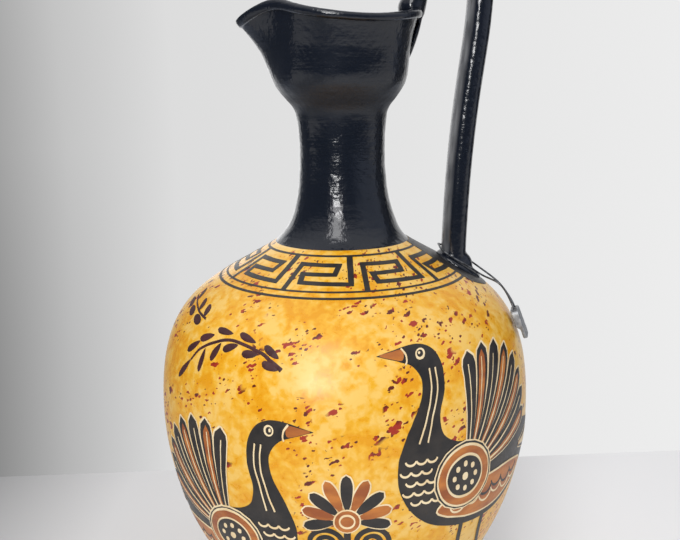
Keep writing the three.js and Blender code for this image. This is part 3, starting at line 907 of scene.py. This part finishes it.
# %% Steel and lead
STEEL_DARK = (0.06, 0.063, 0.07)
STEEL = (0.17, 0.175, 0.185)
LEAD_DARK = (0.2, 0.205, 0.215)
LEAD = (0.42, 0.43, 0.44)


def metal(name, tones, roughness, scale, depth):
    material, tree, shader = new_finish(name, Metallic=0.9)
    clouds = grain(tree, scale, detail=4)
    plug(
        tree, shader, Base_Color=ramp(tree, clouds, (0.35, tones[0]), (0.65, tones[1])),
        Roughness=ramp(tree, clouds, (0.3, roughness - 0.1), (0.7, roughness + 0.1)),
        Normal=bump(tree, clouds, 0.5, depth),
    )
    return material


steel_finish = metal("seal_steel", (STEEL_DARK, STEEL), roughness=0.4, scale=900, depth=0.00005)
lead_finish = metal("seal_lead", (LEAD_DARK, LEAD), roughness=0.5, scale=500, depth=0.0003)
print("metals", steel_finish.name, lead_finish.name)

# %% [markdown]
# The seal hangs on a loop of stiff steel wire. The frame's wire has the right route but few sides,
# so a copy of it is merged, its triangles are joined into quads and subdivision makes it round.
# Subdivision pulls a coarse tube in, so the copy is swelled a little first.

# %% Wire
WIRE_RADIUS = 0.35
SWELL = 0.1


def copy_of(node):
    shape = bmesh.new()
    shape.from_mesh(frame["nodes"][node].data)
    bmesh.ops.remove_doubles(shape, verts=shape.verts, dist=WELD)
    return shape


wire_shape = copy_of("seal_wire")
bmesh.ops.join_triangles(
    wire_shape, faces=wire_shape.faces,
    angle_face_threshold=math.radians(50), angle_shape_threshold=math.radians(60),
)
wire_shape.normal_update()
for vert, push in [(v, v.normal * WIRE_RADIUS * SWELL * MM) for v in wire_shape.verts]:
    vert.co += push
wire = dress("seal_loop", wire_shape, [steel_finish], "steel_wire", "seal_wire", body="seal")
rounder = wire.modifiers.new("round", "SUBSURF")
rounder.levels = rounder.render_levels = 2

# %% [markdown]
# The seal is a strip of lead folded over the wire's ends and squeezed flat. A copy of the frame's
# tag is cleaned of its flat triangles and its edges are bevelled. Finer faces then take the dents
# of the pliers from a noise.

# %% Seal
SEAL_EDGE = 0.35 * MM
SEAL_STEP = 0.7 * MM
DENT = 0.12 * MM

seal_shape = copy_of("lead_seal")
bmesh.ops.dissolve_limit(
    seal_shape, angle_limit=math.radians(2), verts=seal_shape.verts, edges=seal_shape.edges,
)
sharp = [e for e in seal_shape.edges if e.is_manifold and e.calc_face_angle() > math.radians(40)]
bmesh.ops.bevel(
    seal_shape, geom=sharp, offset=SEAL_EDGE, affect="EDGES", segments=3, profile=0.5, material=-1,
)
bmesh.ops.triangulate(seal_shape, faces=seal_shape.faces)
for _ in range(3):
    long_edges = [e for e in seal_shape.edges if e.calc_length() > SEAL_STEP]
    bmesh.ops.subdivide_edges(seal_shape, edges=long_edges, cuts=1)
    bmesh.ops.triangulate(seal_shape, faces=seal_shape.faces)
seal_shape.normal_update()
dents = [(v, v.normal * DENT * (noise.noise(v.co / MM * 0.55) - 0.35)) for v in seal_shape.verts]
for vert, push in dents:
    vert.co += push
dress("folded_seal", seal_shape, [lead_finish], "lead", "lead_seal", body="seal")

# %% [markdown]
# Paint on the body is a thin real layer. Each motif is drawn flat, in millimetres along the belly
# and up the skin, then cut by a grid so that it can bend, moved onto the skin and given a
# thickness. Layers differ by a few hundredths of a millimetre, as coats of paint do. A noise shakes
# every stroke a little, as a hand does. Blender starts it somewhere else on each run unless it gets
# a seed.

# %% Laying paint on the skin
GRID = 2.5
FIRST_COAT = 0.08
COAT = 0.035
UNDER = 0.1
SHAKE = 0.13
SHAKE_SEED = 7

noise.seed_set(SHAKE_SEED)


def skin_at(rise):
    i = min(max(bisect(rises, rise), 1), len(rises) - 1)
    along = (skin[i] - skin[i - 1]).normalized()
    place = skin[i - 1].lerp(skin[i], (rise - rises[i - 1]) / (rises[i] - rises[i - 1]))
    return place, Vector((along.z, 0, -along.x))


def on_skin(centre, across, rise, lift):
    place, outwards = skin_at(rise)
    turn = Matrix.Rotation(centre + across / place.x, 3, "Z")
    return turn @ (place + outwards * lift) * MM


def cut_grid(flat):
    for axis in (0, 1):
        values = [vert.co[axis] for vert in flat.verts]
        for line in range(math.ceil(min(values) / GRID), math.ceil(max(values) / GRID)):
            square = Vector((axis == 0, axis == 1, 0))
            everything = flat.verts[:] + flat.edges[:] + flat.faces[:]
            bmesh.ops.bisect_plane(
                flat, geom=everything, dist=1e-4, plane_co=square * line * GRID, plane_no=square,
            )


def join(shape, coat):
    sheet = bpy.data.meshes.new("sheet")
    shape.to_mesh(sheet)
    shape.free()
    coat.from_mesh(sheet)
    bpy.data.meshes.remove(sheet)


def lay(flat, centre, level, coat):
    lift = FIRST_COAT + COAT * level
    bmesh.ops.triangulate(flat, faces=flat.faces)
    cut_grid(flat)
    flat.normal_update()
    bmesh.ops.reverse_faces(flat, faces=[face for face in flat.faces if face.normal.z < 0])
    for vert in flat.verts:
        shaken = vert.co + noise.noise_vector(vert.co * 0.3 + Vector((0, 0, centre))) * SHAKE
        vert.co = on_skin(centre, shaken.x, shaken.y, lift)
    bmesh.ops.solidify(flat, geom=flat.faces, thickness=(lift + UNDER) * MM)
    bmesh.ops.recalc_face_normals(flat, faces=flat.faces)
    join(flat, coat)


coats = {name: bmesh.new() for name in ("black", "leaf", "brown", "cream")}
print("coats", sorted(coats))

# %% [markdown]
# The painter's hand needs four moves: a line led smoothly through a few points, a filled shape, a
# stroke whose width changes as the brush is pressed, and a dot. Each adds its faces to a flat bmesh,
# the stroke by extruding its end edge from point to point.

# %% Brush and fill
THINNEST = 0.06
SHARPEST_TURN = 0.6


def smooth(points, closed=False, count=6):
    spots = [Vector((x, y, 0)) for x, y in points]
    last = len(spots) - 1
    path = []
    for i in range(len(spots) if closed else last):
        near, far = spots[i], spots[(i + 1) % len(spots)]
        before = spots[i - 1] if closed or i else near
        after = spots[(i + 2) % len(spots)] if closed or i + 2 <= last else far
        first = near + (far - before) / 6
        second = far - (after - near) / 6
        path += curve(near, first, second, far, count + 1)[:-1]
    return path if closed else path + [spots[-1]]


def fill(flat, path):
    flat.faces.new([flat.verts.new(place) for place in path])


def brush(flat, path, width):
    edge = None
    for i, place in enumerate(path):
        back = (place - path[max(i - 1, 0)]).normalized()
        ahead = (path[min(i + 1, len(path) - 1)] - place).normalized()
        along = (back + ahead).normalized()
        side = Vector((-along.y, along.x, 0))
        square = side.dot(Vector((-ahead.y, ahead.x, 0))) if i and i + 1 < len(path) else 1
        wide = width(i / (len(path) - 1)) if callable(width) else width
        reach = side * max(wide, THINNEST) / 2 / max(square, SHARPEST_TURN)
        if edge is None:
            edge = flat.edges.new((flat.verts.new(place + reach), flat.verts.new(place - reach)))
            left = edge.verts[0].co.copy()
            continue
        made = bmesh.ops.extrude_edge_only(flat, edges=[edge])["geom"]
        edge = next(item for item in made if isinstance(item, bmesh.types.BMEdge))
        first = min(edge.verts, key=lambda vert: (vert.co - left).length)
        edge.other_vert(first).co = place - reach
        first.co = place + reach
        left = first.co.copy()


def dot(flat, x, y, radius, stretch=1):
    place = Matrix.Translation((x, y, 0)) @ Matrix.Diagonal((stretch, 1, 1, 1))
    bmesh.ops.create_circle(flat, cap_ends=True, segments=18, radius=radius, matrix=place)


print("finest stroke", THINNEST, "mm")

# %% [markdown]
# Plain rings frame the ornament on the shoulder and close the picture below. A ring is a thin
# strip's profile, spun. The meander between the rings is one bent stroke, repeated round the
# shoulder. It ends under the black patch that joins the handle's root to the neck.

# %% Rings and meander
BAND_TOP = 79.1
BAND_BOTTOM = 60.8
RINGS = ((BAND_TOP, 0.95), (BAND_BOTTOM, 0.85), (57.7, 1.05), (-52.5, 1.1), (-55.5, 0.8))
MEANDER_STEP = math.radians(38.6)
MEANDER_FIRST = math.radians(-40.5)
MEANDER_COUNT = 9
MEANDER_STROKE = 1.9
MEANDER_TURNS = (
    (0, 0), (0.045, 0.755), (0.66, 0.735), (0.61, 0.48),
    (0.145, 0.475), (0.17, 0.24), (0.82, 0.205), (0.85, 1),
)


def ring(rise, width):
    corners = []
    for edge, lift in ((-0.5, -UNDER), (-0.5, FIRST_COAT), (0.5, FIRST_COAT), (0.5, -UNDER)):
        place, outwards = skin_at(rise + edge * width)
        corners.append(place + outwards * lift)
    join(spin(corners, closed=True), coats["black"])


for rise, width in RINGS:
    ring(rise, width)

for count in range(MEANDER_COUNT):
    flat = bmesh.new()
    height = BAND_TOP - BAND_BOTTOM
    corners = []
    for along, up in MEANDER_TURNS:
        rise = BAND_BOTTOM + up * height
        corners.append(Vector((along * MEANDER_STEP * skin_at(rise)[0].x, rise, 0)))
    path = [near.lerp(far, part / 8) for near, far in zip(corners, corners[1:]) for part in range(8)]
    brush(flat, path + corners[-1:], MEANDER_STROKE)
    lay(flat, MEANDER_FIRST - count * MEANDER_STEP, 1, coats["black"])
print("meander strokes", MEANDER_COUNT)

# %% [markdown]
# The gloss of the neck runs on over the shoulder, round the handle's root, and ends in a tongue
# outside it. It is one filled shape, the same on both sides of the handle.

# %% Patch at the handle's root
PATCH_EDGE = (
    (8.0, 82), (9.3, 76), (11.5, 70), (14.1, 61), (15.6, 55.8), (14.8, 53.4), (11.2, 50.7), (6.1, 48.4),
)
flat = bmesh.new()
right = smooth([*PATCH_EDGE, (0, 47.4)])
left = [Vector((-place.x, place.y, 0)) for place in right[-2::-1]]
fill(flat, right + left)
lay(flat, 0, 2, coats["black"])
print("patch", len(right), "points a side")

# %% [markdown]
# Laurel sprigs fill the upper left of each picture. A leaf is a single press of the brush: a short
# stroke that swells and ends bluntly. Above the stem the leaves lie along it, and below they turn
# away from it. A second sprig hangs further left, with berries.

# %% Laurel
STEM = ((-20, 30.9), (-23.5, 33.4), (-27.9, 36), (-39.9, 38.1), (-52.8, 33.5), (-59.6, 27.9))
LEAF_ROWS = ((1, 0.055, 0.19, 6.2, 0, 0, 2.4), (-1, 0.02, 0.185, 5.8, 18, 6, 0.8))
LEAF_WIDTH = 2.8
LEAF_RISE = 0.75
LEAF_FALL = 0.45
LEAF_STEPS = 14
LEAVES = 5
BERRY_STEM = ((-54.9, 42.5), (-62.8, 44), (-73.2, 47.5))
BERRY = 1.8
BERRIES = ((-61, 41), (-68.9, 42.5), (-74.9, 44.3))
FRONT = math.radians(-90)
BACK = math.radians(90)


def heading_of(path, i):
    along = path[min(i + 1, len(path) - 1)] - path[max(i - 1, 0)]
    return math.atan2(along.y, along.x)


def towards(angle):
    return Vector((math.cos(angle), math.sin(angle), 0))


def leaf_width(wide):
    ends = LEAF_RISE + LEAF_FALL
    peak = (LEAF_RISE / ends) ** LEAF_RISE * (LEAF_FALL / ends) ** LEAF_FALL
    return lambda share: wide * share ** LEAF_RISE * (1 - share) ** LEAF_FALL / peak


def leaf(flat, base, heading, length, width, curl=0):
    path = [base]
    for i in range(LEAF_STEPS):
        path.append(path[-1] + towards(heading + curl * i / LEAF_STEPS) * length / LEAF_STEPS)
    brush(flat, path, width)


def sprig(flat, stem):
    path = smooth(stem, count=10)
    brush(flat, path, lambda share: 1.5 - 0.9 * share)
    walked = walk(path)
    for side, first, step, length, turn, opening, off in LEAF_ROWS:
        for count in range(LEAVES):
            i = bisect(walked, (first + step * count) * walked[-1])
            heading = heading_of(path, i)
            base = path[i] + towards(heading - side * math.pi / 2) * off
            stretch = 1 + 0.12 * count
            wide = LEAF_WIDTH * (0.95 - 0.05 * count + 0.1 * noise.noise(base))
            turned = heading + math.radians(turn + opening * count)
            leaf(flat, base, turned, length * stretch, leaf_width(wide))
    leaf(flat, path[-1], heading_of(path, len(path) - 1), 11, leaf_width(2))


def berry_sprig(flat):
    stem = smooth(BERRY_STEM, count=8)
    brush(flat, stem, 0.9)
    for x, y in BERRIES:
        dot(flat, x, y, BERRY, stretch=1.7)
    for i in (3, 8, 13):
        leaf(flat, stem[i], math.radians(62), 5.6, leaf_width(3))


for centre in (FRONT, BACK):
    flat = bmesh.new()
    sprig(flat, STEM)
    berry_sprig(flat)
    lay(flat, centre, 0, coats["leaf"])
print("laurel leaves", len(LEAF_ROWS) * LEAVES + 1)

# %% [markdown]
# The picture is a pair of long-necked water birds, one standing and one resting, that face each
# other over a palmette. They are painted as the old workshops did: black silhouettes, brown washes
# over parts of them, and all inner lines in cream, as if scratched down to the clay. Each coat of a
# colour is a flat of its own, kept by colour and level. The wing comes first: a fan of feathers
# under a round shoulder.

# %% Wing
WING = Vector((13, -3, 0))
WING_ROUND = 12
FEATHERS = 8
LINE = 0.5


def circle(centre, radius, start=0, sweep=360, count=40):
    turns = [math.radians(start + sweep * i / count) for i in range(count + 1)]
    return [centre + towards(turn) * radius for turn in turns]


def feather_width(share):
    return (2 + 4.6 * share) * math.sqrt(max(0, 1 - max(0, (share - 0.8) / 0.2) ** 2))


def feather(flats, base, heading, length, curl, wash):
    leaf(
        flats["cream", 1], base, heading, length + LINE,
        lambda share: feather_width(share) + 2 * LINE, curl,
    )
    leaf(flats["black", 2], base, heading, length, feather_width, curl)
    if wash:
        leaf(
            flats["brown", 3], base, heading, length * 0.93,
            lambda share: feather_width(share) * 0.6, curl,
        )
    leaf(flats["cream", 4], base, heading, length * 0.86, LINE * 0.8, curl)


def wing(flats):
    for i in range(FEATHERS):
        heading = math.radians(98 + 10 * i)
        length = 24 + 8 * math.sin(math.pi * (i + 1) / (FEATHERS + 1))
        base = WING + towards(heading) * (WING_ROUND - 1)
        feather(flats, base, heading, length + 3, curl=-0.26, wash=i % 2)
    dot(flats["cream", 5], WING.x, WING.y, WING_ROUND + LINE)
    dot(flats["black", 6], WING.x, WING.y, WING_ROUND)
    brush(flats["brown", 7], circle(WING, 9.3), 3)
    for radius in (WING_ROUND - 1, 7.6):
        brush(flats["cream", 8], circle(WING, radius), LINE)
    for place in circle(WING, 4.5, count=8)[1:]:
        dot(flats["cream", 8], place.x, place.y, 0.8)
    dot(flats["cream", 8], WING.x, WING.y, 1.2)


print("wing feathers", FEATHERS)

# %% [markdown]
# The rest of the bird is drawn in the bird's own millimetres: tail and flank with their scallops, the
# lines down the neck and the scales on the breast, the head with eye and beak, and the legs, which
# only a standing bird shows.

# %% Plumage, head and legs
FLANK = (
    (24, -14), (12, -19.5), (-3, -20.5), (-16, -17), (-26, -11.5), (-14, -7), (0, -6.5), (14, -7.5),
)
RUMP = Vector((-22, -4, 0))
BEAK = ((36.2, 42), (40, 41.4), (43, 40.6), (40, 39.6), (36, 38.6), (35.2, 40.3))
BEAK_ROOT = ((36, 42.4), (34.6, 40.4), (34.2, 38.2), (34.6, 37.2))


def plumage(flats):
    for turn in (176, 183, 190, 196):
        feather(flats, RUMP, math.radians(turn), length=25, curl=0, wash=turn == 183)
    flank = smooth(FLANK, closed=True)
    fill(flats["brown", 3], flank)
    brush(flats["cream", 4], flank + flank[:2], LINE)
    for i in range(6):
        middle = Vector((-17 + 6.5 * i, -9.5 - 1.2 * (i % 2), 0))
        scallop = circle(middle, 3.2, start=190, sweep=160, count=12)
        brush(flats["black", 4], scallop, 0.7)
        brush(flats["cream", 4], [place + Vector((0, -2.6, 0)) for place in scallop], LINE)
    for inset in (0, 1):
        upper = ((24.4 + inset * 2.2, 35), (23.9 + inset * 2.2, 28))
        lower = ((25.8 + inset * 2, 20), (27.5 + inset * 3, 12))
        brush(flats["cream", 4], smooth(upper + lower), LINE)
    for row in range(5):
        for count in range(3):
            x = 26 + 3.7 * count + 1.85 * (row % 2) - 0.9 * max(0, row - 2)
            scale = circle(Vector((x, 7 - 3.6 * row, 0)), 1.9, start=200, sweep=140, count=8)
            brush(flats["cream", 4], scale, LINE)


def head(flats):
    brush(flats["cream", 4], smooth(BEAK_ROOT), LINE)
    fill(flats["brown", 3], smooth(BEAK, closed=True))
    dot(flats["cream", 4], 29.5, 40, 1.7)
    dot(flats["black", 5], 29.6, 40, 1.1)
    dot(flats["cream", 6], 29.9, 40.2, 0.4)


def legs(flats):
    for x in (2, 13):
        brush(flats["black", 0], smooth(((x, -21), (x + 1, -33), (x - 1, -45.5))), 1.9)
        toes = ((x - 2, -45), (x + 3, -45.4), (x + 9, -46.8), (x + 3, -47.2), (x - 4, -46.6))
        fill(flats["black", 0], smooth(toes, closed=True))


print("flank is drawn with", len(FLANK), "points")

# %% [markdown]
# A bird's silhouette is two lines, breast and nape, that meet at beak and tail. Every flat can be
# mirrored, scaled and moved before it is laid on the skin, so one drawing serves both birds, and
# front and back of the jug.

# %% Birds
BREAST = (
    (44, 40.5), (36.5, 38.2), (32, 36), (29.2, 31), (30.3, 24), (34.5, 15), (37.5, 6), (37.2, -3),
    (33, -12), (25, -19), (12, -23), (-3, -23.5), (-16, -20), (-27, -14), (-36, -9), (-44, -7),
)
NAPE = (
    (-43, -1), (-36, 1.5), (-26, 5), (-12, 8.5), (4, 9), (15, 9.5), (21.5, 13),
    (23, 20), (21.2, 28), (21.8, 35.5), (25, 41), (30, 43.2), (35.5, 42.8), (44, 40.5),
)


def bird(standing):
    flats = defaultdict(bmesh.new)
    fill(flats["black", 0], smooth(BREAST) + smooth(NAPE)[:-1])
    wing(flats)
    plumage(flats)
    head(flats)
    if standing:
        legs(flats)
    return flats


def set_down(flats, centre, origin, size):
    for (colour, level), flat in flats.items():
        bmesh.ops.scale(flat, vec=(*size, 1), verts=flat.verts)
        bmesh.ops.translate(flat, vec=(*origin, 0), verts=flat.verts)
        lay(flat, centre, level, coats[colour])


for centre in (FRONT, BACK):
    set_down(bird(standing=False), centre, origin=(-54, -28), size=(1, 1))
    set_down(bird(standing=True), centre, origin=(54, -5), size=(-1, 1))
print("faces of paint", {name: len(coat.faces) for name, coat in coats.items()})

# %% [markdown]
# A palmette stands between the birds: a fan of petals over two scrolls. Its petals are the same
# presses of the brush as the leaves, in turn black and brown, with a cream edge.

# %% Palmette
PETALS = 9
PETAL_WIDTH = 3.8
HEART = Vector((0, -18, 0))
HEART_ROUND = 4
SCROLL_STEPS = 59


def palmette():
    flats = defaultdict(bmesh.new)
    for i in range(PETALS):
        step = i - (PETALS - 1) / 2
        heading = math.radians(90 - 24 * step)
        base = HEART + towards(heading) * 3.5
        length = 13 - 0.6 * abs(step)
        curl = -0.04 * step
        colour = "brown" if i % 2 else "black"
        leaf(flats["cream", 1], base, heading, length + LINE, leaf_width(PETAL_WIDTH + 2 * LINE), curl)
        leaf(flats[colour, 2], base, heading, length, leaf_width(PETAL_WIDTH), curl)
    dot(flats["cream", 3], HEART.x, HEART.y, HEART_ROUND + LINE)
    dot(flats["brown", 4], HEART.x, HEART.y, HEART_ROUND)
    brush(flats["cream", 5], circle(HEART, 2.4), LINE)
    for side in (-1, 1):
        middle = HEART + Vector((side * 7.5, -9, 0))
        scroll = []
        for i in range(SCROLL_STEPS + 1):
            turn = math.radians(90 - side * (90 - 640 * i / SCROLL_STEPS))
            radius = 6 - 4.9 * i / SCROLL_STEPS
            scroll.append(middle + Vector((side * math.cos(turn), math.sin(turn), 0)) * radius)
        brush(flats["black", 0], scroll, 1.7)
    brush(flats["black", 0], smooth(((0, -22), (0, -38), (0, -52))), 2.2)
    return flats


for centre in (FRONT, BACK):
    set_down(palmette(), centre, origin=(0, 0), size=(1, 1))
print("palmette petals", PETALS)

# %% [markdown]
# The coats are finished as one piece for each colour, because the jug carries thousands of strokes
# and only a few paints.

# %% Coats of paint
COAT_FINISHES = {"black": paint_black, "leaf": leaf_red, "brown": brown_wash, "cream": scratched}

for name, finish in COAT_FINISHES.items():
    dress(name + "_coat", coats[name], [finish], "ochre_ground")
